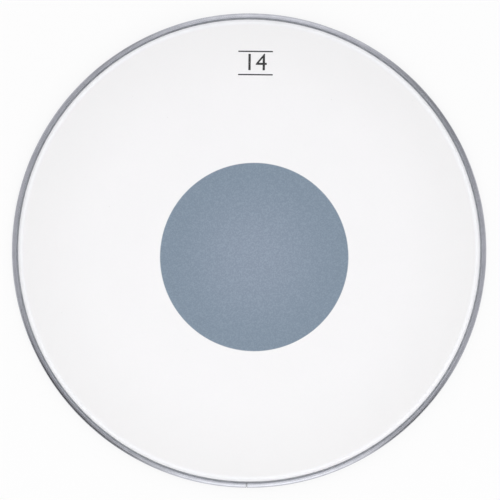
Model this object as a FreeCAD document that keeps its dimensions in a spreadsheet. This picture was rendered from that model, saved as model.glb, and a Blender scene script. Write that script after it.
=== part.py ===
import FreeCAD, Part
import Sketcher
import math
import os

# A coated drum head of 14 inch nominal size with a round dot under its playing face.
# A metal channel is rolled to a ring, the skirt of a heat-formed film stands in it, and resin
# cast round the skirt locks the two.  Millimetres, +Z up, origin on the axis at the hoop's foot.

DRIVING_SIZES = {
    # Hoop: the channel's section, and the butt seam where its ends meet
    "hoop_inner_diameter": 355.6,
    "channel_width": 6.35,
    "hoop_height": 9.5,
    "strip_thickness": 0.8,
    "foot_inside_bend": 0.8,
    "shoulder_inside_bend": 1.0,
    "lip_inside_bend": 0.2,
    "lip_drop": 1.9,
    "slot_width": 1.8,
    "inner_wall_drop": 0.9,
    "seam_gap": 0.4,
    "hoop_sector_count": 18,
    # Joiner inside the channel, across the seam
    "splice_length": 40.0,
    "splice_thickness": 0.8,
    "splice_floor_leg": 2.4,
    "splice_wall_leg": 4.6,
    # Resin: how far its surface lies below the top of the inner wall
    "resin_below_wall": 0.3,
    # Film: the formed sheet and the holes in its skirt
    "film_thickness": 0.254,
    "collar_rise": 9.5,
    "collar_angle": 77.0,
    "collar_bend_radius": 3.0,
    "skirt_floor_clearance": 1.8,
    "perforation_diameter": 3.2,
    "perforation_count": 48,
    # Sprayed coat on the playing face and down the collar, to just above the hoop
    "coating_thickness": 0.06,
    "coating_edge_rise": 0.1,
    # Dot and the adhesive that holds it under the film
    "dot_diameter": 146.05,
    "dot_thickness": 0.127,
    "dot_offset_x": 3.96,
    "dot_offset_y": -4.95,
    "adhesive_thickness": 0.05,
    "adhesive_inset": 0.5,
}

doc = FreeCAD.newDocument("drum_head")
sheet = doc.addObject("Spreadsheet::Sheet", "Sizes")
for row, (alias, value) in enumerate(DRIVING_SIZES.items(), start=1):
    sheet.set(f"A{row}", alias)
    sheet.set(f"B{row}", str(value))
    sheet.setAlias(f"B{row}", alias)
doc.recompute()

# Radii and heights that more than one piece shares, worked out from the driving sizes
STRIP = "Sizes.strip_thickness"
INNER_RADIUS = "(Sizes.hoop_inner_diameter / 2)"
OUTER_RADIUS = f"({INNER_RADIUS} + Sizes.channel_width)"
WALL_RADIUS = f"({INNER_RADIUS} + {STRIP})"
LIP_RADIUS = f"({WALL_RADIUS} + Sizes.slot_width)"
CAVITY_RADIUS = f"({OUTER_RADIUS} - {STRIP})"
CAVITY_ROOF = f"(Sizes.hoop_height - {STRIP})"
LIP_END = "(Sizes.hoop_height - Sizes.lip_drop)"
LIP_BACK = f"({LIP_RADIUS} + {STRIP})"
WALL_TOP = "(Sizes.hoop_height - Sizes.inner_wall_drop)"
RESIN_TOP = f"({WALL_TOP} - Sizes.resin_below_wall)"
FOOT_INSIDE = "Sizes.foot_inside_bend"
FOOT_OUTSIDE = f"({FOOT_INSIDE} + {STRIP})"
# The shoulder's and the lip's bends share the channel's top, so its width limits both
TOP_WIDTH = f"({OUTER_RADIUS} - {LIP_RADIUS})"
SHOULDER_OUTSIDE = f"min(Sizes.shoulder_inside_bend + {STRIP}; {TOP_WIDTH} / 2)"
SHOULDER_INSIDE = f"({SHOULDER_OUTSIDE} - {STRIP})"
LIP_OUTSIDE = f"min(Sizes.lip_inside_bend + {STRIP}; {TOP_WIDTH} / 3)"
LIP_INSIDE = f"({LIP_OUTSIDE} - {STRIP})"

# The film's outer face: its skirt passes through the middle of the slot at the end of the lip
FACE_TOP = "(Sizes.hoop_height + Sizes.collar_rise)"
SLOT_MIDDLE = f"({WALL_RADIUS} + Sizes.slot_width / 2)"
SKIRT_AT_LIP = f"({SLOT_MIDDLE} + Sizes.film_thickness / (2 * sin(Sizes.collar_angle)))"
BEND_CENTRE_Z = f"({FACE_TOP} - Sizes.collar_bend_radius)"
BEND_CENTRE_R = (
    f"({SKIRT_AT_LIP} - (Sizes.collar_bend_radius - ({LIP_END} - {BEND_CENTRE_Z})"
    f" * cos(Sizes.collar_angle)) / sin(Sizes.collar_angle))"
)
SKIRT_EDGE = f"({STRIP} + Sizes.skirt_floor_clearance)"
PERFORATION_Z = f"(({SKIRT_EDGE} + {LIP_END}) / 2)"
FILM_UNDERSIDE = f"({FACE_TOP} - Sizes.film_thickness)"
DOT_TOP = f"({FILM_UNDERSIDE} - Sizes.adhesive_thickness)"


def size(expression):
    """The present value of an expression on the sheet."""
    return float(sheet.evalExpression(expression))


def new_body(label):
    body = doc.addObject("PartDesign::Body", label)
    body.Label = label
    return body


def origin_feature(body, role):
    return next(feature for feature in body.Origin.OriginFeatures if feature.Role == role)


def new_sketch(body, name, plane_role):
    sketch = body.newObject("Sketcher::SketchObject", name)
    sketch.AttachmentSupport = (origin_feature(body, plane_role), [""])
    sketch.MapMode = "FlatFace"
    return sketch


def dimension(sketch, name, kind, places, expression):
    """Add a named dimension to a sketch and bind it to the sheet."""
    index = sketch.addConstraint(Sketcher.Constraint(kind, *places, size(expression)))
    sketch.renameConstraint(index, name)
    sketch.setExpression(f"Constraints.{name}", expression)


def section_outline(sketch, sides):
    """Draw a closed section of upright and level sides, joined by bends or sharp corners.

    Each side is (direction, place, bend): an upright side's place is a radius, a level side's
    is a height or None on the ground, and bend is the radius of the corner after it or None.
    """
    count = len(sides)
    places = [0.0 if place is None else size(place) for _, place, _ in sides]
    corners = []
    for index, (direction, _, _) in enumerate(sides):
        here = places[index]
        after = places[(index + 1) % count]
        r, z = (here, after) if direction == "upright" else (after, here)
        corners.append(FreeCAD.Vector(r, z, 0))
    bends = [0.0 if bend is None else size(bend) for _, _, bend in sides]
    runs = [(corners[index] - corners[index - 1]).normalize() for index in range(count)]

    # The straight sides, shortened where a bend begins or ends
    lines = []
    for index, (direction, place, _) in enumerate(sides):
        start = corners[index - 1] + runs[index] * bends[index - 1]
        end = corners[index] - runs[index] * bends[index]
        line = sketch.addGeometry(Part.LineSegment(start, end))
        lines.append(line)
        if direction == "upright":
            sketch.addConstraint(Sketcher.Constraint("Vertical", line))
            dimension(sketch, f"radius_{index}", "DistanceX", (-1, 1, line, 1), place)
        else:
            sketch.addConstraint(Sketcher.Constraint("Horizontal", line))
            if place is None:
                sketch.addConstraint(Sketcher.Constraint("PointOnObject", line, 1, -1))
            else:
                dimension(sketch, f"height_{index}", "DistanceY", (-1, 1, line, 1), place)

    # The bends, or the sharp corners, that join them
    for index, (_, _, bend) in enumerate(sides):
        after = (index + 1) % count
        if bend is None:
            sketch.addConstraint(Sketcher.Constraint("Coincident", lines[index], 2, lines[after], 1))
            continue
        centre = corners[index] + (runs[after] - runs[index]) * bends[index]
        from_angle = math.atan2(-runs[after].y, -runs[after].x)
        to_angle = math.atan2(runs[index].y, runs[index].x)
        turns_left = runs[index].cross(runs[after]).z > 0
        angles = (from_angle, to_angle) if turns_left else (to_angle, from_angle)
        circle = Part.Circle(centre, FreeCAD.Vector(0, 0, 1), bends[index])
        arc = sketch.addGeometry(Part.ArcOfCircle(circle, *angles))
        first, last = (1, 2) if turns_left else (2, 1)
        sketch.addConstraint(Sketcher.Constraint("Tangent", lines[index], 2, arc, first))
        sketch.addConstraint(Sketcher.Constraint("Tangent", arc, last, lines[after], 1))
        dimension(sketch, f"bend_{index}", "Radius", (arc,), bend)


def formed_outline(sketch, below, above, edge_height):
    """Draw half the section of a layer that follows the formed film.

    The layer reaches from below to above the film's outer face, both measured square to it,
    and its outer corner ends at edge_height on the collar or skirt.
    """
    angle = math.radians(size("Sizes.collar_angle"))
    outward = FreeCAD.Vector(math.sin(angle), math.cos(angle), 0)
    downward = FreeCAD.Vector(math.cos(angle), -math.sin(angle), 0)
    centre = FreeCAD.Vector(size(BEND_CENTRE_R), size(BEND_CENTRE_Z), 0)
    up = FreeCAD.Vector(0, 1, 0)
    upper_radius = f"(Sizes.collar_bend_radius + {above})"
    lower_radius = f"(Sizes.collar_bend_radius - {below})"
    bend_end = centre + outward * size(upper_radius)
    slant = (bend_end.y - size(edge_height)) / math.sin(angle)
    outer_edge = bend_end + downward * slant
    inner_edge = outer_edge - outward * size(f"{above} + {below}")
    upper_arc = Part.Circle(centre, FreeCAD.Vector(0, 0, 1), size(upper_radius))
    lower_arc = Part.Circle(centre, FreeCAD.Vector(0, 0, 1), size(lower_radius))
    face_end = centre + up * size(upper_radius)
    back_end = centre + up * size(lower_radius)
    face_axis = FreeCAD.Vector(0, face_end.y, 0)
    back_axis = FreeCAD.Vector(0, back_end.y, 0)
    bend_start_angle = math.pi / 2 - angle

    face = sketch.addGeometry(Part.LineSegment(face_axis, face_end))
    upper_bend = sketch.addGeometry(Part.ArcOfCircle(upper_arc, bend_start_angle, math.pi / 2))
    outer_slope = sketch.addGeometry(Part.LineSegment(bend_end, outer_edge))
    edge = sketch.addGeometry(Part.LineSegment(outer_edge, inner_edge))
    inner_slope = sketch.addGeometry(
        Part.LineSegment(inner_edge, centre + outward * size(lower_radius)))
    lower_bend = sketch.addGeometry(Part.ArcOfCircle(lower_arc, bend_start_angle, math.pi / 2))
    back = sketch.addGeometry(Part.LineSegment(back_end, back_axis))
    axis = sketch.addGeometry(Part.LineSegment(back_axis, face_axis))

    for constraint in (
        Sketcher.Constraint("Horizontal", face),
        Sketcher.Constraint("Horizontal", back),
        Sketcher.Constraint("PointOnObject", face, 1, -2),
        Sketcher.Constraint("PointOnObject", back, 2, -2),
        Sketcher.Constraint("Tangent", face, 2, upper_bend, 2),
        Sketcher.Constraint("Tangent", upper_bend, 1, outer_slope, 1),
        Sketcher.Constraint("Coincident", outer_slope, 2, edge, 1),
        Sketcher.Constraint("Coincident", edge, 2, inner_slope, 1),
        Sketcher.Constraint("Tangent", inner_slope, 2, lower_bend, 1),
        Sketcher.Constraint("Tangent", lower_bend, 2, back, 1),
        Sketcher.Constraint("Coincident", back, 2, axis, 1),
        Sketcher.Constraint("Coincident", axis, 2, face, 1),
        Sketcher.Constraint("Coincident", upper_bend, 3, lower_bend, 3),
        Sketcher.Constraint("Parallel", outer_slope, inner_slope),
        Sketcher.Constraint("Perpendicular", outer_slope, edge),
    ):
        sketch.addConstraint(constraint)
    dimension(sketch, "bend_centre_r", "DistanceX", (-1, 1, upper_bend, 3), BEND_CENTRE_R)
    dimension(sketch, "bend_centre_z", "DistanceY", (-1, 1, upper_bend, 3), BEND_CENTRE_Z)
    dimension(sketch, "upper_radius", "Radius", (upper_bend,), upper_radius)
    dimension(sketch, "lower_radius", "Radius", (lower_bend,), lower_radius)
    dimension(sketch, "edge_height", "DistanceY", (-1, 1, outer_slope, 2), edge_height)
    slope = sketch.addConstraint(Sketcher.Constraint("Angle", inner_slope, math.pi - angle))
    sketch.renameConstraint(slope, "collar_slope")
    sketch.setExpression("Constraints.collar_slope", "(180 - Sizes.collar_angle) * 1 deg")


def revolve(body, sketch, name, angle="360 deg", midplane=False):
    """Turn a section about the drum's axis by an angle from +Y, or centred on +Y."""
    turned = body.newObject("PartDesign::Revolution", name)
    turned.Profile = sketch
    turned.ReferenceAxis = (sketch, ["V_Axis"])
    turned.Midplane = midplane
    turned.setExpression("Angle", angle)
    return turned


def polar_pattern(body, feature, name, spacing, occurrences):
    """Repeat a feature about the drum's axis and make the result the body's shape."""
    pattern = body.newObject("PartDesign::PolarPattern", name)
    pattern.Originals = [feature]
    pattern.Axis = (origin_feature(body, "Z_Axis"), [""])
    pattern.Mode = "Spacing"
    pattern.setExpression("Offset", spacing)
    pattern.setExpression("Occurrences", occurrences)
    pattern.Refine = False
    body.Tip = pattern


def arc_degrees(length, radius):
    """The angle that a length covers on a circle."""
    return f"({length} / {radius} * 180 / pi * 1 deg)"


def flesh_hoop():
    """The rolled channel: inner wall, foot, outer wall and curled lip, open at the butt seam.

    The ring is turned in short equal sectors, which keeps its narrow bends well shaped, and
    then swung round so that the seam is at -Y.
    """
    body = new_body("flesh_hoop")
    section = new_sketch(body, "channel_section", "YZ_Plane")
    section_outline(section, [
        ("upright", INNER_RADIUS, FOOT_OUTSIDE),
        ("level", None, FOOT_OUTSIDE),
        ("upright", OUTER_RADIUS, SHOULDER_OUTSIDE),
        ("level", "Sizes.hoop_height", LIP_OUTSIDE),
        ("upright", LIP_RADIUS, None),
        ("level", LIP_END, None),
        ("upright", LIP_BACK, LIP_INSIDE),
        ("level", CAVITY_ROOF, SHOULDER_INSIDE),
        ("upright", CAVITY_RADIUS, FOOT_INSIDE),
        ("level", STRIP, FOOT_INSIDE),
        ("upright", WALL_RADIUS, None),
        ("level", WALL_TOP, None),
    ])
    seam = arc_degrees("Sizes.seam_gap", OUTER_RADIUS)
    sector = f"((360 deg - {seam}) / Sizes.hoop_sector_count)"
    rolled = revolve(body, section, "rolled_sector", sector)
    polar_pattern(body, rolled, "rolled_ring", sector, "Sizes.hoop_sector_count")
    turn_to_seam = FreeCAD.Rotation(FreeCAD.Vector(0, 0, 1), 180)
    body.Placement = FreeCAD.Placement(FreeCAD.Vector(), turn_to_seam)
    body.setExpression("Placement.Rotation.Angle", f"180 deg + {seam} / 2")
    return body


def hoop_splice():
    """The joiner: an L strip seated in the channel's outer corner, half on each side of the seam."""
    body = new_body("hoop_splice")
    section = new_sketch(body, "joiner_section", "YZ_Plane")
    section_outline(section, [
        ("level", STRIP, FOOT_INSIDE),
        ("upright", CAVITY_RADIUS, None),
        ("level", f"({STRIP} + Sizes.splice_wall_leg)", None),
        ("upright", f"({CAVITY_RADIUS} - Sizes.splice_thickness)", None),
        ("level", f"({STRIP} + Sizes.splice_thickness)", None),
        ("upright", f"({CAVITY_RADIUS} - Sizes.splice_floor_leg)", None),
    ])
    length = arc_degrees("Sizes.splice_length", CAVITY_RADIUS)
    revolve(body, section, "curved_joiner", length, midplane=True)
    half_turn = FreeCAD.Rotation(FreeCAD.Vector(0, 0, 1), 180)
    body.Placement = FreeCAD.Placement(FreeCAD.Vector(), half_turn)
    return body


def batter_film():
    """The formed film: playing face, bend, collar, and a skirt with a ring of holes for the resin."""
    body = new_body("batter_film")
    section = new_sketch(body, "film_section", "YZ_Plane")
    formed_outline(section, "Sizes.film_thickness", "0", SKIRT_EDGE)
    revolve(body, section, "formed_film")

    hole = new_sketch(body, "perforation", "XZ_Plane")
    hole.setExpression("AttachmentOffset.Base.z", OUTER_RADIUS)
    centre = FreeCAD.Vector(0, size(PERFORATION_Z), 0)
    radius = size("Sizes.perforation_diameter / 2")
    circle = hole.addGeometry(Part.Circle(centre, FreeCAD.Vector(0, 0, 1), radius))
    hole.addConstraint(Sketcher.Constraint("PointOnObject", circle, 3, -2))
    dimension(hole, "height", "DistanceY", (-1, 1, circle, 3), PERFORATION_Z)
    dimension(hole, "bore", "Diameter", (circle,), "Sizes.perforation_diameter")
    punched = body.newObject("PartDesign::Pocket", "punched_hole")
    punched.Profile = hole
    punched.setExpression("Length", "Sizes.channel_width")
    polar_pattern(body, punched, "ring_of_holes", "360 deg / Sizes.perforation_count",
                  "Sizes.perforation_count")
    return body


def edge_resin(film, splice):
    """The cast resin: all of the channel's inside up to its surface, round the skirt and the joiner."""
    pour = new_body("resin_pour")
    section = new_sketch(pour, "cavity_section", "YZ_Plane")
    section_outline(section, [
        ("level", STRIP, FOOT_INSIDE),
        ("upright", CAVITY_RADIUS, SHOULDER_INSIDE),
        ("level", CAVITY_ROOF, LIP_INSIDE),
        ("upright", LIP_BACK, None),
        ("level", LIP_END, None),
        ("upright", LIP_RADIUS, None),
        ("level", RESIN_TOP, None),
        ("upright", WALL_RADIUS, FOOT_INSIDE),
    ])
    revolve(pour, section, "poured_ring")
    round_film = doc.addObject("Part::Cut", "resin_round_film")
    round_film.Base = pour
    round_film.Tool = film
    resin = doc.addObject("Part::Cut", "edge_resin")
    resin.Label = "edge_resin"
    resin.Base = round_film
    resin.Tool = splice
    return resin


def white_coating():
    """The sprayed coat on the playing face, over the bend and down the collar to the hoop."""
    body = new_body("white_coating")
    section = new_sketch(body, "coat_section", "YZ_Plane")
    formed_outline(section, "0", "Sizes.coating_thickness",
                   "(Sizes.hoop_height + Sizes.coating_edge_rise)")
    revolve(body, section, "sprayed_coat")
    return body


def disc_under_film(label, diameter, thickness, top):
    """A round layer under the playing face, on the dot's centre, hanging down from its top."""
    body = new_body(label)
    outline = new_sketch(body, f"{label}_outline", "XY_Plane")
    radius = size(f"{diameter} / 2")
    circle = outline.addGeometry(Part.Circle(FreeCAD.Vector(), FreeCAD.Vector(0, 0, 1), radius))
    outline.addConstraint(Sketcher.Constraint("Coincident", circle, 3, -1, 1))
    dimension(outline, "diameter", "Diameter", (circle,), diameter)
    layer = body.newObject("PartDesign::Pad", f"{label}_layer")
    layer.Profile = outline
    layer.Reversed = True
    layer.setExpression("Length", thickness)
    body.setExpression("Placement.Base.x", "Sizes.dot_offset_x")
    body.setExpression("Placement.Base.y", "Sizes.dot_offset_y")
    body.setExpression("Placement.Base.z", top)
    return body


hoop = flesh_hoop()
splice = hoop_splice()
film = batter_film()
sub_parts = [
    hoop,
    splice,
    film,
    edge_resin(film, splice),
    white_coating(),
    disc_under_film("dot_adhesive", "(Sizes.dot_diameter - 2 * Sizes.adhesive_inset)",
                    "Sizes.adhesive_thickness", FILM_UNDERSIDE),
    disc_under_film("centre_dot", "Sizes.dot_diameter", "Sizes.dot_thickness", DOT_TOP),
]
doc.recompute()

for item in doc.Objects:
    if "Invalid" in item.State or "Error" in item.State:
        raise RuntimeError(f"{item.Label} did not recompute: {item.State}")
for part in sub_parts:
    if part.Shape.isNull() or not part.Shape.isValid() or len(part.Shape.Solids) != 1:
        raise RuntimeError(f"{part.Label} is not one valid solid")
uncut = doc.getObject("formed_film").Shape
hole_walls = len(film.Shape.Faces) - len(uncut.Faces)
if film.Shape.Volume >= uncut.Volume or hole_walls < size("Sizes.perforation_count"):
    raise RuntimeError("the ring of holes was not cut through the skirt")

os.makedirs("parts", exist_ok=True)
for part in sub_parts:
    part.Shape.exportStep(f"parts/{part.Label}.step")
    print(f"{part.Label}: volume {part.Shape.Volume:.1f} mm3, box {part.Shape.optimalBoundingBox()}")
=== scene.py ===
import math
import bmesh
import bpy
from mathutils import Matrix, Vector


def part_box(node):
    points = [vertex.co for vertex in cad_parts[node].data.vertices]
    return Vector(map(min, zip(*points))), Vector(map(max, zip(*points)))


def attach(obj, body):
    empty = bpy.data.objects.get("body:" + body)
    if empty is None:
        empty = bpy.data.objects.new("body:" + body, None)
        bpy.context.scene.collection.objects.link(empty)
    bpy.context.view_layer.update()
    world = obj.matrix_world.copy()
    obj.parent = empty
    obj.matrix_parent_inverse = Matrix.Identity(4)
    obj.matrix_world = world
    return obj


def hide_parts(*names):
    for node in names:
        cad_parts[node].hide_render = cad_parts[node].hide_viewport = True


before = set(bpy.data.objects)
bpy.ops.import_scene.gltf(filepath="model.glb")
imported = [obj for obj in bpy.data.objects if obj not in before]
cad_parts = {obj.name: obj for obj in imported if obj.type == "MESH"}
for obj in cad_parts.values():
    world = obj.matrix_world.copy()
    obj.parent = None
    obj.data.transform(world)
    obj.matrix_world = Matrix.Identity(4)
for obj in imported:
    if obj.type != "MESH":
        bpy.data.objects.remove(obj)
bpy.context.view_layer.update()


# Flesh hoop: a strip of aluminium rolled to a channel with a curled inner lip, then bent to a ring.
# Its two ends butt together at -Y with a hair's gap, and the edge of the film is cast inside it.
# Sizes here and below are in millimetres, but for those of the lamps, in metres.

MM = 0.001
FULL_TURN = 2 * math.pi
AROUND_STEPS = 384
HOOP_RADIUS = 184.15
HOOP_HEIGHT = 9.5
CHANNEL_WIDTH = 6.35
STRIP = 0.8
SLOT_WIDTH = 1.8
LIP_DROP = 1.9
WALL_DROP = 0.9
FOOT_BEND = 1.6
SHOULDER_BEND = 1.8
LIP_BEND = 1.0
BEND_STEPS = 8
DEBURRED = 0.12
SMALL_BEND = 0.5
SMALL_STEPS = 3
SEAM_OPENING = 0.4
SEAM_EDGE = 0.07
FINE_STEPS = 2
MERGE_DISTANCE = 0.002
SHARP_ANGLE = math.radians(35)
RING_MIDDLE = 181.0
METAL_DARK = (0.47, 0.483, 0.522, 1)
METAL_LIGHT = (0.631, 0.643, 0.682, 1)
STAIN_START = 0.2
STAIN_END = 1.4
STAIN_SHARE = 0.35
SEAM_STAIN = (0.16, 0.155, 0.15, 1)
DUST_ON_METAL = (0.25, 0.25, 0.25, 1)

bore_radius = HOOP_RADIUS - CHANNEL_WIDTH
wall_radius = bore_radius + STRIP
wall_top = HOOP_HEIGHT - WALL_DROP
lip_radius = wall_radius + SLOT_WIDTH
lip_end = HOOP_HEIGHT - LIP_DROP
# Radius, height and bend of each corner, for the inside of the channel and then for the whole strip
channel_inside = (
    (lip_radius + STRIP, HOOP_HEIGHT - STRIP, LIP_BEND - STRIP),
    (HOOP_RADIUS - STRIP, HOOP_HEIGHT - STRIP, SHOULDER_BEND - STRIP),
    (HOOP_RADIUS - STRIP, STRIP, FOOT_BEND - STRIP),
    (wall_radius, STRIP, FOOT_BEND - STRIP),
)
hoop_section = (
    (bore_radius, 0, FOOT_BEND),
    (HOOP_RADIUS, 0, FOOT_BEND),
    (HOOP_RADIUS, HOOP_HEIGHT, SHOULDER_BEND),
    (lip_radius, HOOP_HEIGHT, LIP_BEND),
    (lip_radius, lip_end, DEBURRED),
    (lip_radius + STRIP, lip_end, DEBURRED),
    *channel_inside,
    (wall_radius, wall_top, DEBURRED),
    (bore_radius, wall_top, DEBURRED),
)


def unique(items):
    """Keep each item once, in the order in which they first come."""
    return list(dict.fromkeys(items))


def round_off(bm, parts, size, steps, kind="EDGES"):
    """Round edges or, with VERTICES as their kind, the corners of a flat shape."""
    bmesh.ops.bevel(bm, geom=parts, offset=size * MM, offset_type="OFFSET", affect=kind,
                    segments=steps, profile=0.5, material=-1)


def lay_section(bm, section):
    """Lay a cut section across the ring, in the XZ plane, and round its corners."""
    corners = [bm.verts.new((radius * MM, 0, height * MM)) for radius, height, _ in section]
    bm.faces.new(corners)
    for corner, (_, _, bend) in zip(corners, section):
        if bend:
            round_off(bm, [corner], bend, BEND_STEPS if bend > SMALL_BEND else SMALL_STEPS, "VERTICES")
    bmesh.ops.delete(bm, geom=bm.faces[:], context="FACES_ONLY")


def turn(bm, angle, steps, **options):
    """Turn all that a mesh holds about the drum's axis."""
    bmesh.ops.spin(bm, geom=bm.verts[:] + bm.edges[:] + bm.faces[:], cent=(0, 0, 0), axis=(0, 0, 1),
                   dvec=(0, 0, 0), angle=angle, steps=steps, **options)


def close_seams(bm):
    """Merge the points that fall on each other, and turn the faces outwards."""
    bmesh.ops.remove_doubles(bm, verts=bm.verts[:], dist=MERGE_DISTANCE * MM)
    bmesh.ops.recalc_face_normals(bm, faces=bm.faces[:])


def put_in_scene(name, data):
    """Make an object of a mesh, a lamp or a camera, at the origin."""
    thing = bpy.data.objects.new(name, data)
    bpy.context.scene.collection.objects.link(thing)
    return thing


def show_piece(bm, name, finish, slot, *nodes):
    """Make a smooth piece of a mesh, in the place of its CAD nodes."""
    mesh = bpy.data.meshes.new(name)
    bm.to_mesh(mesh)
    bm.free()
    mesh.shade_smooth()
    mesh.set_sharp_from_angle(angle=SHARP_ANGLE)
    mesh.materials.append(finish)
    piece = put_in_scene(name, mesh)
    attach(piece, "root")
    if nodes:
        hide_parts(*nodes)
    return piece


def keep_flats(piece):
    """Shade the flat faces flat, beside bends that are shaded round."""
    piece.modifiers.new("flat_faces", "WEIGHTED_NORMAL").keep_sharp = True


def new_finish(name):
    """Start a material, and give it back with its tree and its shader."""
    material = bpy.data.materials.new(name)
    material.use_nodes = True
    return material, material.node_tree, material.node_tree.nodes["Principled BSDF"]


def feed(tree, node, inputs):
    """Set a node's inputs, or link those whose value is another node's output."""
    for key, value in inputs.items():
        if isinstance(value, bpy.types.NodeSocket):
            tree.links.new(value, node.inputs[key])
        else:
            node.inputs[key].default_value = value


def add(tree, kind, inputs, **options):
    """Add a node with its options and its inputs."""
    node = tree.nodes.new(kind)
    for option, choice in options.items():
        setattr(node, option, choice)
    feed(tree, node, inputs)
    return node


def work_out(tree, operation, *values):
    """Work out one number from others."""
    return add(tree, "ShaderNodeMath", dict(enumerate(values)), operation=operation).outputs[0]


def work_on_vector(tree, operation, vector, inputs=None):
    """Work out a vector from another, or a number where the operation gives one."""
    node = add(tree, "ShaderNodeVectorMath", {0: vector, **(inputs or {})}, operation=operation)
    return node.outputs["Value" if operation in ("LENGTH", "DOT_PRODUCT") else "Vector"]


def fade(tree, value, start, end, from_value=0.0, to_value=1.0):
    """Go smoothly from one value to another while the input goes from start to end."""
    inputs = {"Value": value, "From Min": start, "From Max": end, "To Min": from_value, "To Max": to_value}
    return add(tree, "ShaderNodeMapRange", inputs, interpolation_type="SMOOTHSTEP").outputs[0]


def noise(tree, place, size, detail=2.0, roughness=0.5):
    """Give a cloudy value, with clouds of about the size."""
    inputs = {"Vector": place, "Scale": 1.0 / size, "Detail": detail, "Roughness": roughness}
    return add(tree, "ShaderNodeTexNoise", inputs).outputs["Fac"]


def mix_colours(tree, mask, first, second):
    """Go from the first colour to the second with the mask."""
    return add(tree, "ShaderNodeMix", {0: mask, 6: first, 7: second}, data_type="RGBA").outputs[2]


def bump(tree, height, strength, depth):
    """Raise a surface by a height of 0 to 1, times the depth."""
    inputs = {"Height": height, "Strength": strength, "Distance": depth * MM}
    return add(tree, "ShaderNodeBump", inputs).outputs[0]


def place_in_mm(tree):
    """Give the place of a point on its piece, in millimetres."""
    at = tree.nodes.new("ShaderNodeTexCoord").outputs["Object"]
    return work_on_vector(tree, "SCALE", at, {"Scale": 1 / MM})


def in_steps_of(tree, place, size):
    """Measure a place in steps of a size."""
    return work_on_vector(tree, "SCALE", place, {"Scale": work_out(tree, "DIVIDE", 1.0, size)})


def new_group(name, inputs, outputs):
    """Start a node group of plain values, and give back its tree, its inputs and its end node."""
    group = bpy.data.node_groups.new(name, "ShaderNodeTree")
    for label, value in inputs.items():
        group.interface.new_socket(label, in_out="INPUT", socket_type="NodeSocketFloat").default_value = value
    for label in outputs:
        group.interface.new_socket(label, in_out="OUTPUT", socket_type="NodeSocketFloat")
    return group, group.nodes.new("NodeGroupInput").outputs, group.nodes.new("NodeGroupOutput")


def use(tree, group, **inputs):
    """Place a node group with its own values, and give back its outputs."""
    labels = {name.replace("_", " ").capitalize(): value for name, value in inputs.items()}
    return add(tree, "ShaderNodeGroup", labels, node_tree=group).outputs


# Where a point lies on the ring: its radius, its way round from +Y, and its height
ring_place, _, group_end = new_group("place_on_ring", {}, ("Radius", "Around", "Height"))
axes = add(ring_place, "ShaderNodeSeparateXYZ", {0: place_in_mm(ring_place)}).outputs
flat_place = add(ring_place, "ShaderNodeCombineXYZ", {0: axes[0], 1: axes[1]}).outputs[0]
turned = work_out(ring_place, "ARCTAN2", axes[0], axes[1])
feed(ring_place, group_end, {
    "Radius": work_on_vector(ring_place, "LENGTH", flat_place),
    "Around": work_out(ring_place, "MULTIPLY", turned, RING_MIDDLE),
    "Height": axes[2],
})

# Lines that the rolls leave along the strip, and the cloudy tone of the bare metal
rolling_lines, asked, group_end = new_group(
    "rolling_lines", {"Line width": 0.2, "Line length": 60.0}, ("Lines", "Cloud"))
on_ring = use(rolling_lines, ring_place)
along = add(rolling_lines, "ShaderNodeCombineXYZ", {
    0: work_out(rolling_lines, "DIVIDE", on_ring["Radius"], asked["Line width"]),
    1: work_out(rolling_lines, "DIVIDE", on_ring["Around"], asked["Line length"]),
    2: work_out(rolling_lines, "DIVIDE", on_ring["Height"], asked["Line width"]),
}).outputs[0]
feed(rolling_lines, group_end, {
    "Lines": noise(rolling_lines, along, size=1.0, detail=3.0, roughness=0.6),
    "Cloud": noise(rolling_lines, place_in_mm(rolling_lines), size=9.0, detail=3.0),
})

# Finger smudges in loose patches, and a few specks of dust
handling, asked, group_end = new_group(
    "handling", {"Patch size": 30.0, "Dust spacing": 4.0}, ("Smudge", "Dust"))
here = place_in_mm(handling)
patch_place = in_steps_of(handling, here, asked["Patch size"])
patches = noise(handling, patch_place, size=1.0, detail=5.0, roughness=0.62)
dust_place = in_steps_of(handling, here, asked["Dust spacing"])
cells = add(handling, "ShaderNodeTexVoronoi", {"Vector": dust_place, "Scale": 1.0}).outputs
speck = fade(handling, cells["Distance"], 0.03, 0.055, 1.0, 0.0)
chance = add(handling, "ShaderNodeSeparateColor", {0: cells["Color"]}).outputs[0]
feed(handling, group_end, {
    "Smudge": fade(handling, patches, 0.5, 0.72),
    "Dust": work_out(handling, "MULTIPLY", speck, fade(handling, chance, 0.8, 0.82)),
})

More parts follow.
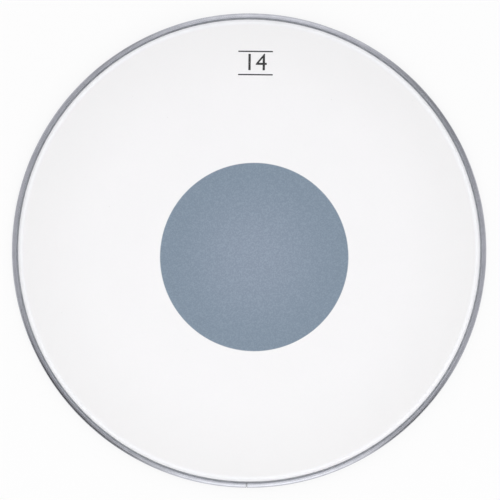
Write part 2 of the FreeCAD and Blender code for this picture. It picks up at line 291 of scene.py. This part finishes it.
hoop_metal, tree, shader = new_finish("satin_rolled_aluminium")
on_ring = use(tree, ring_place)
rolled = use(tree, rolling_lines, line_width=0.16, line_length=70.0)
touched = use(tree, handling, patch_size=22.0, dust_spacing=5.0)
to_seam = work_out(tree, "SUBTRACT", math.pi * RING_MIDDLE, work_out(tree, "ABSOLUTE", on_ring["Around"]))
stain = fade(tree, to_seam, STAIN_START, STAIN_END, STAIN_SHARE, 0.0)
tone = work_out(tree, "MULTIPLY_ADD", rolled["Lines"], 0.7, work_out(tree, "MULTIPLY", rolled["Cloud"], 0.5))
metal_colour = mix_colours(tree, fade(tree, tone, 0.3, 0.9), METAL_DARK, METAL_LIGHT)
metal_colour = mix_colours(tree, stain, metal_colour, SEAM_STAIN)
satin = fade(tree, rolled["Lines"], 0.25, 0.75, 0.24, 0.35)
feed(tree, shader, {
    "Base Color": mix_colours(tree, touched["Dust"], metal_colour, DUST_ON_METAL),
    "Metallic": 1.0,
    "Roughness": work_out(tree, "MULTIPLY_ADD", touched["Smudge"], 0.09, satin),
    "Anisotropic": 0.85,
    "Anisotropic Rotation": 0.25,
    "Tangent": add(tree, "ShaderNodeTangent", {}, direction_type="RADIAL", axis="Z").outputs[0],
    "Normal": bump(tree, rolled["Lines"], strength=0.35, depth=0.012),
})

hoop = bmesh.new()
lay_section(hoop, hoop_section)
half_opening = SEAM_OPENING / 2 / HOOP_RADIUS
to_seam_end = Matrix.Rotation(half_opening - math.pi / 2, 3, "Z")
bmesh.ops.rotate(hoop, verts=hoop.verts[:], cent=(0, 0, 0), matrix=to_seam_end)
turn(hoop, FULL_TURN - 2 * half_opening, AROUND_STEPS)
close_seams(hoop)
ends = bmesh.ops.holes_fill(hoop, edges=[edge for edge in hoop.edges if edge.is_boundary])["faces"]
round_off(hoop, unique(edge for end in ends for edge in end.edges), SEAM_EDGE, FINE_STEPS)
bmesh.ops.recalc_face_normals(hoop, faces=hoop.faces[:])
keep_flats(show_piece(hoop, "rolled_hoop", hoop_metal, "hoop_metal", "flesh_hoop"))


# Hoop splice: an L strip of aluminium, curved to the ring and pushed half into each end of the channel.
# It keeps the two ends in line, and the cast resin holds it where nobody sees it again.

SPLICE_DARK = (0.42, 0.43, 0.45, 1)
SPLICE_LIGHT = (0.6, 0.61, 0.63, 1)


def spread(tree, cloud, from_value=0.0, to_value=1.0):
    """Spread a cloudy value, which lies mostly between 0.3 and 0.7, over a range of values."""
    return fade(tree, cloud, 0.3, 0.7, from_value, to_value)


splice_metal, tree, shader = new_finish("mill_aluminium")
rolled = use(tree, rolling_lines, line_width=0.3, line_length=25.0)
feed(tree, shader, {
    "Base Color": mix_colours(tree, spread(tree, rolled["Lines"]), SPLICE_DARK, SPLICE_LIGHT),
    "Metallic": 1.0,
    "Roughness": spread(tree, rolled["Cloud"], 0.35, 0.55),
})
splice_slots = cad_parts["hoop_splice"].data.materials
splice_slots.clear()
splice_slots.append(splice_metal)


# Batter film: clear polyester a quarter of a millimetre thick, heat formed over a mould.
# The flat playing face turns over a bend into a steep collar, whose skirt stands in the channel.

COLLAR_ANGLE = math.radians(77)
BEND_CENTRE = Vector((174.612, 0, 16.0))
BEND_RADIUS = 3.0
FORMED_STEPS = 14
FACE_CUTS = 9
FILM_THICKNESS = 0.254
SKIRT_EDGE = 2.6
SKIRT_FACING = Vector((math.sin(COLLAR_ANGLE), 0, math.cos(COLLAR_ANGLE)))
HOLE_COUNT = 48
HOLE_RADIUS = 1.6
HOLE_STEPS = 16
HOLE_HEIGHT = 5.1
HOLE_MARGIN = 0.7
HOLE_REACH = HOLE_RADIUS + HOLE_MARGIN
PITCH = FULL_TURN / HOLE_COUNT
TO_HOLE = Matrix.Rotation(PITCH / 2, 4, "Z")
FILM_SHADED = (0.83, 0.85, 0.87, 1)
FILM_PALE = (0.87, 0.885, 0.9, 1)
FILM_GRAIN = (0.72, 0.75, 0.78, 1)
DUST_ON_FILM = (0.6, 0.6, 0.58, 1)
POLYESTER_IOR = 1.58


def skirt_at(height, depth=0.0):
    """Give the radius of the collar and skirt at a height, so deep behind their outer side."""
    bend_end = BEND_CENTRE + SKIRT_FACING * (BEND_RADIUS - depth)
    return bend_end.x + (bend_end.z - height) / math.tan(COLLAR_ANGLE)


def formed_line(bm, bend_radius, edge_height):
    """Draw the line of a formed layer, from the drum's axis over the bend to its edge on the collar."""
    face_end = bm.verts.new((BEND_CENTRE + Vector((0, 0, bend_radius))) * MM)
    bent = bmesh.ops.spin(bm, geom=[face_end], cent=BEND_CENTRE * MM, axis=(0, 1, 0), dvec=(0, 0, 0),
                          angle=COLLAR_ANGLE, steps=FORMED_STEPS)["geom_last"]
    bend_end = next(item for item in bent if isinstance(item, bmesh.types.BMVert))
    drop = bend_end.co.z - edge_height * MM
    edge = bmesh.ops.extrude_vert_indiv(bm, verts=[bend_end])["verts"]
    bmesh.ops.translate(bm, verts=edge, vec=(drop / math.tan(COLLAR_ANGLE), 0, -drop))
    axis = bmesh.ops.extrude_vert_indiv(bm, verts=[face_end])
    bmesh.ops.translate(bm, verts=axis["verts"], vec=(-face_end.co.x, 0, 0))
    bmesh.ops.subdivide_edges(bm, edges=axis["edges"], cuts=FACE_CUTS)


def mark_rows(bm, edges):
    """Divide the lines of a section at the middle of the holes, and a little above and below them."""
    for row in (-HOLE_REACH, 0, HOLE_REACH):
        points = unique(end for edge in edges for end in edge.verts)
        parts = bmesh.ops.bisect_plane(bm, geom=edges + points, plane_co=(0, 0, (HOLE_HEIGHT + row) * MM),
                                       plane_no=(0, 0, 1))["geom"]
        edges = [part for part in parts if isinstance(part, bmesh.types.BMEdge)]


def punch(bm, depth):
    """Open a round hole in a pitch, so deep behind the skirt's outer side, and give back its rim."""
    place = TO_HOLE @ ((Vector((skirt_at(HOLE_HEIGHT), 0, HOLE_HEIGHT)) - SKIRT_FACING * depth) * MM)
    facing = TO_HOLE @ SKIRT_FACING
    cut_out = []
    for face in bm.faces:
        away = face.calc_center_median() - place
        if away.length < HOLE_REACH * MM and abs(away.dot(facing)) < FILM_THICKNESS / 2 * MM:
            cut_out.append(face)
    cut_edge = [edge for edge in unique(edge for face in cut_out for edge in face.edges)
                if sum(face in cut_out for face in edge.link_faces) == 1]
    bmesh.ops.delete(bm, geom=cut_out, context="FACES")
    square_to_skirt = Matrix.Translation(place) @ TO_HOLE @ Matrix.Rotation(COLLAR_ANGLE, 4, "Y")
    rim = bmesh.ops.create_circle(bm, segments=HOLE_STEPS, radius=HOLE_RADIUS * MM,
                                  matrix=square_to_skirt)["verts"]
    rim_edges = unique(edge for point in rim for edge in point.link_edges)
    bmesh.ops.bridge_loops(bm, edges=cut_edge + rim_edges)
    return rim_edges


def repeat_pitch(bm):
    """Set one pitch beside the other all round the ring."""
    turn(bm, FULL_TURN - PITCH, HOLE_COUNT - 1, use_duplicate=True)
    close_seams(bm)


def thicken(piece, thickness):
    """Give a layer its thickness, inwards from its outer side."""
    wall = piece.modifiers.new("thickness", "SOLIDIFY")
    wall.thickness = thickness * MM
    wall.offset = -1
    wall.use_even_offset = True


# Grain of the sprayed coat, as droplets and as a fine mist, and the drift of its thickness
sprayed_grain, asked, group_end = new_group("sprayed_grain", {"Grain size": 0.9}, ("Grain", "Drift"))
here = place_in_mm(sprayed_grain)
grain_place = in_steps_of(sprayed_grain, here, asked["Grain size"])
mist = noise(sprayed_grain, grain_place, size=1.0, detail=6.0, roughness=0.68)
droplets = add(sprayed_grain, "ShaderNodeTexVoronoi", {"Vector": grain_place, "Scale": 0.8},
               feature="SMOOTH_F1").outputs["Distance"]
raised_mist = work_out(sprayed_grain, "ADD", mist, 0.17)
feed(sprayed_grain, group_end, {
    "Grain": work_out(sprayed_grain, "MULTIPLY_ADD", droplets, -0.35, raised_mist),
    "Drift": noise(sprayed_grain, here, size=45.0, detail=3.0),
})

film_finish, tree, shader = new_finish("clear_film_on_white")
sprayed = use(tree, sprayed_grain, grain_size=1.4)
touched = use(tree, handling, patch_size=38.0, dust_spacing=6.0)
film_colour = mix_colours(tree, spread(tree, sprayed["Drift"]), FILM_SHADED, FILM_PALE)
film_colour = mix_colours(tree, spread(tree, sprayed["Grain"], 0.0, 0.1), film_colour, FILM_GRAIN)
feed(tree, shader, {
    "Base Color": mix_colours(tree, touched["Dust"], film_colour, DUST_ON_FILM),
    "Roughness": work_out(tree, "MULTIPLY_ADD", touched["Smudge"], 0.16, 0.12),
    "IOR": POLYESTER_IOR,
    "Normal": bump(tree, sprayed["Drift"], strength=0.25, depth=0.25),
})

film = bmesh.new()
formed_line(film, BEND_RADIUS, SKIRT_EDGE)
mark_rows(film, film.edges[:])
turn(film, PITCH, AROUND_STEPS // HOLE_COUNT)
punch(film, 0)
repeat_pitch(film)
film_piece = show_piece(film, "formed_film", film_finish, "film", "batter_film")
thicken(film_piece, FILM_THICKNESS)
keep_flats(film_piece)


# Edge resin: a grey casting resin poured into the channel round the skirt of the film.
# It goes through the holes in the skirt, and creeps a little up the film, the lip and the wall as it sets.

RESIN_CREEP = 8.42
INNER_DIP = 8.22
INNER_DIP_ROUND = 0.22
OUTER_DIP = 8.2
OUTER_DIP_ROUND = 0.3
RESIN_DARK = (0.3, 0.315, 0.34, 1)
RESIN_LIGHT = (0.4, 0.415, 0.44, 1)
DUST_ON_RESIN = (0.5, 0.5, 0.48, 1)

film_outside = skirt_at(RESIN_CREEP)
film_inside = skirt_at(RESIN_CREEP, FILM_THICKNESS)
skirt_foot = Vector((skirt_at(SKIRT_EDGE), 0, SKIRT_EDGE))
skirt_heel = skirt_foot - SKIRT_FACING * FILM_THICKNESS
resin_section = (
    (lip_radius, RESIN_CREEP, 0),
    (lip_radius, lip_end, 0),
    (lip_radius + STRIP, lip_end, 0),
    *channel_inside,
    (wall_radius, RESIN_CREEP, 0),
    ((wall_radius + film_inside) / 2, INNER_DIP, INNER_DIP_ROUND),
    (film_inside, RESIN_CREEP, 0),
    (skirt_heel.x, skirt_heel.z, 0),
    (skirt_foot.x, skirt_foot.z, 0),
    (film_outside, RESIN_CREEP, 0),
    ((film_outside + lip_radius) / 2, OUTER_DIP, OUTER_DIP_ROUND),
)


def lies_on_skirt(edge):
    """Tell whether an edge of the section is one of the two that run down the skirt."""
    middle = (edge.verts[0].co + edge.verts[1].co) / 2 / MM
    is_long = edge.calc_length() > 2 * HOLE_RADIUS * MM
    return is_long and abs(middle.x - skirt_at(middle.z)) < 2 * FILM_THICKNESS


resin_finish, tree, shader = new_finish("grey_cast_resin")
touched = use(tree, handling, patch_size=6.0, dust_spacing=2.0)
flow = noise(tree, place_in_mm(tree), size=5.0, detail=3.0)
resin_colour = mix_colours(tree, spread(tree, flow), RESIN_DARK, RESIN_LIGHT)
feed(tree, shader, {
    "Base Color": mix_colours(tree, touched["Dust"], resin_colour, DUST_ON_RESIN),
    "Roughness": work_out(tree, "MULTIPLY_ADD", touched["Smudge"], 0.2, 0.22),
    "Normal": bump(tree, flow, strength=0.4, depth=0.1),
})

resin = bmesh.new()
lay_section(resin, resin_section)
mark_rows(resin, [edge for edge in resin.edges if lies_on_skirt(edge)])
turn(resin, PITCH, AROUND_STEPS // HOLE_COUNT)
bmesh.ops.bridge_loops(resin, edges=punch(resin, 0) + punch(resin, FILM_THICKNESS))
repeat_pitch(resin)
keep_flats(show_piece(resin, "cast_resin", resin_finish, "resin", "edge_resin"))


# White coating: a matt white lacquer with a fine tooth, sprayed on the playing face and down the collar.
# It is thin enough for the dot behind it to show through as a blue-grey disc.

COAT_THICKNESS = 0.06
COAT_EDGE = 9.6
# Radii over which painted shade darkens the coat towards the rim, and over which the painted highlight of the
# collar sets in
SHADE_START = 110.0
SHADE_END = 185.0
COLLAR_HIGHLIGHT_START = 174.0
COLLAR_HIGHLIGHT_END = 176.6
# How far the dot's edge is blurred by the coat, and the way from its middle over which its grey deepens
BLUR_INSIDE = 0.45
BLUR_OUTSIDE = 0.25
GREY_START = 5.0
GREY_END = 72.0
COAT_MIDDLE = (0.96, 0.956, 0.958, 1)
# painted shade: the white of the face darkens towards the rim
COAT_PAINTED_SHADE = (0.912, 0.909, 0.905, 1)
COAT_THIN = (0.9, 0.9, 0.9, 1)
# painted highlight: the bend and collar are painted a paler, bluish white, as where they catch the side light
COAT_COLLAR_PAINTED_HIGHLIGHT = (0.942, 0.948, 0.967, 1)
COAT_PITS = (0.75, 0.77, 0.79, 1)
DUST_ON_COAT = (0.84, 0.84, 0.83, 1)
GREY_MIDDLE = (0.299, 0.36, 0.445, 1)
GREY_SHADED = (0.25, 0.318, 0.394, 1)
GREY_PITS = (0.1, 0.14, 0.19, 1)

dot_low, dot_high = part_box("centre_dot")
dot_middle = (dot_low + dot_high) / 2
dot_radius = (dot_high.x - dot_low.x) / 2 / MM

coat_finish, tree, shader = new_finish("sprayed_matt_white")
on_ring = use(tree, ring_place)
sprayed = use(tree, sprayed_grain, grain_size=0.85)
tooth = use(tree, sprayed_grain, grain_size=0.32)["Grain"]
touched = use(tree, handling, patch_size=60.0, dust_spacing=9.0)
from_dot = work_on_vector(tree, "SUBTRACT", place_in_mm(tree), {1: dot_middle / MM})
to_dot = work_on_vector(tree, "LENGTH", work_on_vector(tree, "MULTIPLY", from_dot, {1: (1, 1, 0)}))
over_dot = fade(tree, to_dot, dot_radius - BLUR_INSIDE, dot_radius + BLUR_OUTSIDE, 1.0, 0.0)
# painted shade: the coat's white darkens from the middle of the face towards the rim
white = mix_colours(tree, fade(tree, on_ring["Radius"], SHADE_START, SHADE_END), COAT_MIDDLE, COAT_PAINTED_SHADE)
white = mix_colours(tree, spread(tree, sprayed["Drift"], 0.0, 0.12), white, COAT_THIN)
# painted highlight: a paler, bluish white painted on the bend and collar
white = mix_colours(tree, fade(tree, on_ring["Radius"], COLLAR_HIGHLIGHT_START, COLLAR_HIGHLIGHT_END), white, COAT_COLLAR_PAINTED_HIGHLIGHT)
white = mix_colours(tree, fade(tree, tooth, 0.35, 0.65, 0.0, 0.14), white, COAT_PITS)
white = mix_colours(tree, touched["Dust"], white, DUST_ON_COAT)
grey = mix_colours(tree, fade(tree, to_dot, GREY_START, GREY_END), GREY_MIDDLE, GREY_SHADED)
grey = mix_colours(tree, fade(tree, sprayed["Grain"], 0.38, 0.62, 0.0, 0.27), grey, GREY_PITS)
feed(tree, shader, {
    "Base Color": mix_colours(tree, over_dot, white, grey),
    "Roughness": spread(tree, tooth, 0.6, 0.8),
    "Specular IOR Level": 0.3,
    "Sheen Weight": 0.2,
    "Sheen Roughness": 0.45,
    "Normal": bump(tree, tooth, strength=0.9, depth=0.1),
})

coat = bmesh.new()
formed_line(coat, BEND_RADIUS + COAT_THICKNESS, COAT_EDGE)
turn(coat, FULL_TURN, AROUND_STEPS, use_merge=True)
close_seams(coat)
coat_piece = show_piece(coat, "sprayed_coat", coat_finish, "coating", "white_coating")
thicken(coat_piece, COAT_THICKNESS)
keep_flats(coat_piece)


# Dot adhesive: a clear layer of pressure adhesive on the back of the dot.
# It stops half a millimetre short of the dot's edge, so that none squeezes out.

CUT_ROUND = 0.2
GLUE_CLEAR = (0.7, 0.7, 0.66, 1)
GLUE_PRESSED = (0.6, 0.6, 0.55, 1)


def lift(bm, thickness):
    """Give a flat shape its thickness, upwards."""
    lifted = bmesh.ops.extrude_face_region(bm, geom=bm.faces[:])["geom"]
    tops = [item for item in lifted if isinstance(item, bmesh.types.BMVert)]
    bmesh.ops.translate(bm, verts=tops, vec=(0, 0, thickness * MM))


def die_cut_disc(node):
    """Make a round layer as large as its CAD node, with the faintly rounded edge of a die cut."""
    low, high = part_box(node)
    thickness = (high.z - low.z) / MM
    disc = bmesh.new()
    bmesh.ops.create_circle(disc, cap_ends=True, segments=AROUND_STEPS, radius=(high.x - low.x) / 2)
    bmesh.ops.translate(disc, verts=disc.verts[:], vec=((low.x + high.x) / 2, (low.y + high.y) / 2, low.z))
    lift(disc, thickness)
    rims = [edge for edge in disc.edges if abs(edge.verts[0].co.z - edge.verts[1].co.z) < MERGE_DISTANCE * MM]
    round_off(disc, rims, thickness * CUT_ROUND, FINE_STEPS)
    bmesh.ops.recalc_face_normals(disc, faces=disc.faces[:])
    return disc


glue_finish, tree, shader = new_finish("clear_adhesive")
touched = use(tree, handling, patch_size=8.0, dust_spacing=3.0)
feed(tree, shader, {
    "Base Color": mix_colours(tree, touched["Smudge"], GLUE_CLEAR, GLUE_PRESSED),
    "Roughness": work_out(tree, "MULTIPLY_ADD", touched["Smudge"], 0.2, 0.35),
})
keep_flats(show_piece(die_cut_disc("dot_adhesive"), "dot_glue", glue_finish, "adhesive", "dot_adhesive"))


# Centre dot: a disc die cut from thin black polyester film, stuck to the underside of the playing face.
# It adds mass where the stick lands, and damps the ring of the drum.

DOT_BLACK = (0.024, 0.026, 0.03, 1)
DOT_WORN = (0.036, 0.039, 0.044, 1)
DUST_ON_DOT = (0.35, 0.35, 0.34, 1)

dot_finish, tree, shader = new_finish("black_satin_film")
touched = use(tree, handling, patch_size=26.0, dust_spacing=5.0)
tooth = noise(tree, place_in_mm(tree), size=0.5, detail=3.0)
dot_colour = mix_colours(tree, spread(tree, tooth), DOT_BLACK, DOT_WORN)
feed(tree, shader, {
    "Base Color": mix_colours(tree, touched["Dust"], dot_colour, DUST_ON_DOT),
    "Roughness": work_out(tree, "MULTIPLY_ADD", touched["Smudge"], 0.15, 0.3),
    "Normal": bump(tree, tooth, strength=0.2, depth=0.02),
})
keep_flats(show_piece(die_cut_disc("centre_dot"), "black_dot", dot_finish, "dot_film", "centre_dot"))


# Size mark: the head's nominal size, screen printed in black ink between two thin rules.
# The ink is a few hundredths of a millimetre thick, and the tooth of the coat breaks it up a little.

MARK_MIDDLE = Vector((3.4, 145.2))
NUMERAL_SIZE = 18.5
RULE_LENGTH = 27.0
RULE_WIDTH = 1.0
RULE_SPACING = 18.0
RULE_END_STEPS = 4
INK_THICKNESS = 0.03
INK_THICK = (0.012, 0.012, 0.013, 1)
INK_THIN = (0.03, 0.03, 0.032, 1)
INK_BREAKS = (0.45, 0.45, 0.45, 1)

ink_finish, tree, shader = new_finish("printed_black_ink")
sprayed = use(tree, sprayed_grain, grain_size=0.4)
ink_colour = mix_colours(tree, spread(tree, sprayed["Drift"]), INK_THICK, INK_THIN)
breaks = fade(tree, sprayed["Grain"], 0.56, 0.7, 0.0, 0.4)
feed(tree, shader, {
    "Base Color": mix_colours(tree, breaks, ink_colour, INK_BREAKS),
    "Roughness": spread(tree, sprayed["Grain"], 0.45, 0.7),
    "Normal": bump(tree, sprayed["Grain"], strength=0.5, depth=0.03),
})

numerals = bpy.data.curves.new("numerals", "FONT")
numerals.body = "14"
numerals.size = NUMERAL_SIZE * MM
numerals.align_x = "CENTER"
numerals.align_y = "CENTER"
set_type = bpy.data.objects.new("numerals", numerals)
type_faces = bpy.data.meshes.new_from_object(set_type)
ink = bmesh.new()
ink.from_mesh(type_faces)
bmesh.ops.beautify_fill(ink, faces=ink.faces[:], edges=ink.edges[:], method="ANGLE")
bpy.data.objects.remove(set_type)
bpy.data.curves.remove(numerals)
bpy.data.meshes.remove(type_faces)
for side in (-1, 1):
    rule_place = Matrix.Translation((0, side * RULE_SPACING / 2 * MM, 0))
    rule_shape = Matrix.Diagonal((RULE_LENGTH * MM, RULE_WIDTH * MM, 1, 1))
    rule = bmesh.ops.create_grid(ink, x_segments=1, y_segments=1, size=0.5,
                                 matrix=rule_place @ rule_shape)["verts"]
    round_off(ink, rule, RULE_WIDTH / 2, RULE_END_STEPS, "VERTICES")
close_seams(ink)
lift(ink, INK_THICKNESS)
bmesh.ops.translate(ink, verts=ink.verts[:], vec=(*MARK_MIDDLE * MM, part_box("white_coating")[1].z))
bmesh.ops.recalc_face_normals(ink, faces=ink.faces[:])
show_piece(ink, "size_mark", ink_finish, "dot_film")


# Floor: a pale matt table that the drum head lies on, a hair below the hoop's foot.
# To the camera and in the metal it is nearly white, and the head's soft shadow stays on it.

TABLE_COLOUR = (0.92, 0.92, 0.92, 1)
TABLE_WHITE = (1, 1, 1, 1)
WHITE_SHARE = 0.84
TABLE_REACH = 8000.0
TABLE_DROP = 0.02

floor_finish, tree, shader = new_finish("pale_table")
feed(tree, shader, {"Base Color": TABLE_COLOUR, "Roughness": 0.9, "Specular IOR Level": 0.0})
path = tree.nodes.new("ShaderNodeLightPath").outputs
mirrored = work_out(tree, "MAXIMUM", path["Is Glossy Ray"], path["Is Transmission Ray"])
seen = work_out(tree, "MAXIMUM", path["Is Camera Ray"], mirrored)
glow = add(tree, "ShaderNodeEmission", {"Color": TABLE_WHITE, "Strength": 1.0}).outputs[0]
table = add(tree, "ShaderNodeMixShader", {
    0: work_out(tree, "MULTIPLY", seen, WHITE_SHARE),
    1: shader.outputs[0],
    2: glow,
}).outputs[0]
feed(tree, tree.nodes["Material Output"], {"Surface": table})

ground = bmesh.new()
bmesh.ops.create_grid(ground, x_segments=1, y_segments=1, size=TABLE_REACH * MM)
bmesh.ops.translate(ground, verts=ground.verts[:], vec=(0, 0, -TABLE_DROP * MM))
floor_mesh = bpy.data.meshes.new("floor")
ground.to_mesh(floor_mesh)
ground.free()
floor_mesh.materials.append(floor_finish)
floor = put_in_scene("floor", floor_mesh)


# Light: a grey room with paler walls at the front and the back, and a few dark openings between them.
# A softbox hangs before each paler wall, and the metal mirrors it. Weak lamps overhead and low down,
# which the metal doesn't mirror, light the face and the collar.

LAMP_COLOUR = (1.0, 0.995, 0.955)
FILL_DISTANCE = 1.2
FILL_HEIGHT = 0.21
FILL_SIZE = (0.8, 0.3)
ROOM_COLOUR = (0.993, 0.986, 1.032, 1)
ROOM_LEVEL = 0.66
# Bearing from +X and half width of each opening or paler wall, in degrees, and its tone against the room's
ROOM_SIDES = (
    (223, 30, 0.0),
    (315, 15, 0.0),
    (38, 20, 0.45),
    (122, 12, 0.5),
    (88, 40, 1.35),
    (276, 48, 1.6),
)


def softbox(name, place, size, watts, in_reflections=True):
    """Hang a lamp that faces the middle of the head's foot."""
    lamp = bpy.data.lights.new(name, "AREA")
    lamp.shape = "RECTANGLE"
    lamp.size = size[0]
    lamp.size_y = size[1]
    lamp.energy = watts
    lamp.color = LAMP_COLOUR
    box = put_in_scene(name, lamp)
    box.location = place
    box.rotation_euler = (-Vector(place)).to_track_quat("-Z", "Y").to_euler()
    box.visible_camera = False
    box.visible_glossy = in_reflections


softbox("front_softbox", place=(0.05, -0.66, 1.0), size=(0.6, 0.8), watts=1.85)
softbox("back_softbox", place=(0.05, 0.6, 1.02), size=(0.46, 0.6), watts=0.5)
softbox("overhead_lamp", place=(0, 0, 0.95), size=(0.5, 0.5), watts=1.82, in_reflections=False)
for name, across, along, watts in (("left_fill", -1, 0, 3.1), ("right_fill", 1, 0, 2.7),
                                   ("front_fill", 0, -1, 2.35), ("back_fill", 0, 1, 1.8)):
    place = (across * FILL_DISTANCE, along * FILL_DISTANCE, FILL_HEIGHT)
    softbox(name, place, FILL_SIZE, watts, in_reflections=False)

world = bpy.data.worlds.new("studio")
world.use_nodes = True
tree = world.node_tree
bearing = tree.nodes.new("ShaderNodeTexCoord").outputs["Generated"]
bearing = work_on_vector(tree, "NORMALIZE", work_on_vector(tree, "MULTIPLY", bearing, {1: (1, 1, 0)}))
level = ROOM_LEVEL
for middle, half_width, tone in ROOM_SIDES:
    out = Vector((math.cos(math.radians(middle)), math.sin(math.radians(middle)), 0))
    facing = work_on_vector(tree, "DOT_PRODUCT", bearing, {1: out})
    edge = math.cos(math.radians(half_width))
    core = math.cos(math.radians(half_width / 3))
    level = work_out(tree, "MULTIPLY", level, fade(tree, facing, edge, core, 1.0, tone))
feed(tree, tree.nodes["Background"], {"Color": ROOM_COLOUR, "Strength": level})
bpy.context.scene.world = world
bpy.context.scene.view_settings.view_transform = "Standard"


# Camera: straight above the head, with +Y at the top of a picture of 500 by 500 pixels.
# The hoop is widest just under its shoulder, and that height sets the scale of the picture.
# A turn of a hair brings the seam to its place.

CAMERA_HEIGHT = 4000.0
SHOULDER_HEIGHT = 7.6
MM_PER_PIXEL = 0.7763
PICTURE_MIDDLE = 250
HOOP_CENTRE_PIXEL = (249.14, 250.57)
CAMERA_TURN = math.radians(0.6)
FARTHEST_SEEN = 50000.0

half_picture = PICTURE_MIDDLE * MM_PER_PIXEL
lens = bpy.data.cameras.new("camera")
lens.angle = 2 * math.atan(half_picture / (CAMERA_HEIGHT - SHOULDER_HEIGHT))
lens.clip_end = FARTHEST_SEEN * MM
camera = put_in_scene("camera", lens)
camera.location = ((PICTURE_MIDDLE - HOOP_CENTRE_PIXEL[0]) * MM_PER_PIXEL * MM,
                   (HOOP_CENTRE_PIXEL[1] - PICTURE_MIDDLE) * MM_PER_PIXEL * MM, CAMERA_HEIGHT * MM)
camera.rotation_euler.z = CAMERA_TURN
bpy.context.scene.camera = camera
